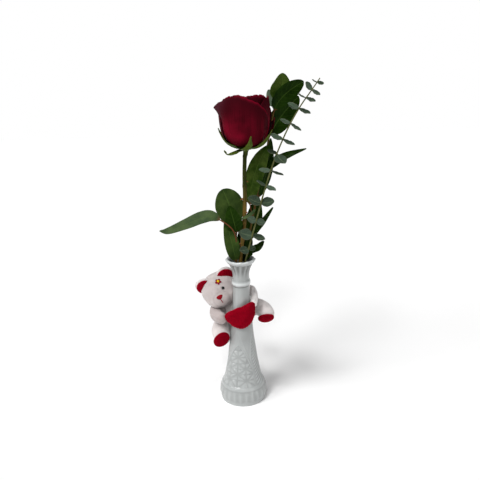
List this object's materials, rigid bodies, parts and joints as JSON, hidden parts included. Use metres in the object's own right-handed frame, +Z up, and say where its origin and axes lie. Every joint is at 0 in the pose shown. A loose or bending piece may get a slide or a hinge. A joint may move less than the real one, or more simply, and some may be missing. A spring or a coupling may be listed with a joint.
{
  "type": "rose in a bud vase",
  "caption": "Cut dark red rose with broad leaves and a eucalyptus sprig in a tall milk-glass bud vase, hugged by a small plush bear with a heart cushion.",
  "frame": {"origin": "centre of the vase's foot, on the surface it stands on", "axes": "+Z up along the vase, -Y towards the front of the arrangement, +X to the viewer's right"},
  "size_m": [0.23, 0.0973, 0.4906],
  "materials": {
    "milk_glass": "glossy opaque white",
    "water": "clear",
    "rose_stem": "satin",
    "rose_petal": "velvety",
    "leaf": "waxy",
    "eucalyptus_leaf": "matt",
    "white_plush": "short pile",
    "red_plush": "short pile",
    "eye_bead": "glossy",
    "yellow_felt": "felt"
  },
  "bodies": {
    "root": {"vase": "milk_glass", "vase_water": "water", "rose_stem": "rose_stem", "rose_bloom": "rose_petal", "leaf_sprig_right": "leaf", "leaf_sprig_left": "leaf", "eucalyptus_sprig": "eucalyptus_leaf", "bear_torso": "white_plush", "heart_cushion": "red_plush", "bear_leg_left": "white_plush", "bear_leg_right": "white_plush", "bear_arm_left": "white_plush", "bear_arm_right": "white_plush", "bear_foot_pad_left": "red_plush", "bear_foot_pad_right": "red_plush", "bear_head": "white_plush", "bear_ear_left": "white_plush", "bear_ear_right": "white_plush", "bear_ear_lining_left": "red_plush", "bear_ear_lining_right": "red_plush", "bear_eye": "eye_bead", "bear_nose": "red_plush", "bear_mouth": "red_plush", "bear_flower": "red_plush", "bear_flower_centre": "yellow_felt"}
  },
  "joints": []
}
